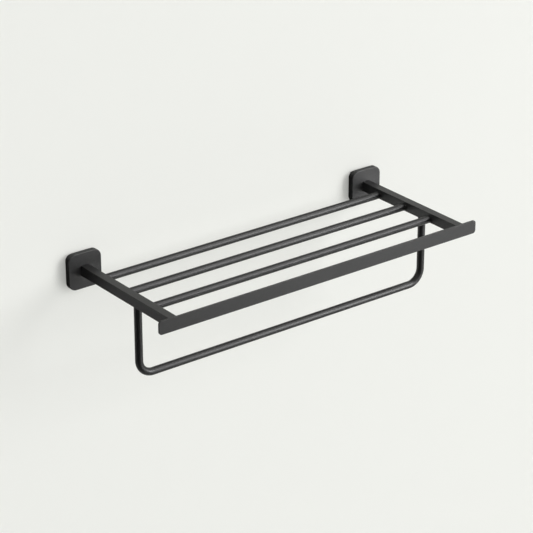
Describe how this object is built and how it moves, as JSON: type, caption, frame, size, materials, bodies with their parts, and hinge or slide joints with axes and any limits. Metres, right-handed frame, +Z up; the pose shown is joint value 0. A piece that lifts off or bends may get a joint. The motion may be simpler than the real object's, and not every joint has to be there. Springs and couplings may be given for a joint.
{
  "type": "towel rack with shelf",
  "caption": "Wall-mounted black rack: a shelf of round rods between two square arms, with a flat front strip and a bent round towel rail hanging below.",
  "frame": {"origin": "on the wall plane, midway between the two flanges, at the height of the arms' centre line", "axes": "+X to the right along the rack, +Y into the wall, +Z up"},
  "size_m": [0.602, 0.2802, 0.1552],
  "materials": {
    "black_paint": "matte black powder coat",
    "black_steel": "black oxide",
    "zinc": "zinc plated",
    "plug_plastic": "moulded grey nylon"
  },
  "bodies": {
    "root": {"left_wall_base": "black_paint", "left_flange": "black_paint", "left_arm": "black_paint", "left_arm_bolt": "black_steel", "left_spring_washer": "zinc", "left_flange_set_screw": "black_steel", "left_strip_set_screw": "black_steel", "left_strip_stud": "zinc", "left_upper_wall_screw": "zinc", "left_upper_wall_plug": "plug_plastic", "left_lower_wall_screw": "zinc", "left_lower_wall_plug": "plug_plastic", "right_wall_base": "black_paint", "right_flange": "black_paint", "right_arm": "black_paint", "right_arm_bolt": "black_steel", "right_spring_washer": "zinc", "right_flange_set_screw": "black_steel", "right_strip_set_screw": "black_steel", "right_strip_stud": "zinc", "right_upper_wall_screw": "zinc", "right_upper_wall_plug": "plug_plastic", "right_lower_wall_screw": "zinc", "right_lower_wall_plug": "plug_plastic", "rear_rod": "black_paint", "middle_rod": "black_paint", "front_rod": "black_paint", "towel_rail": "black_paint", "front_strip": "black_paint"}
  },
  "joints": []
}
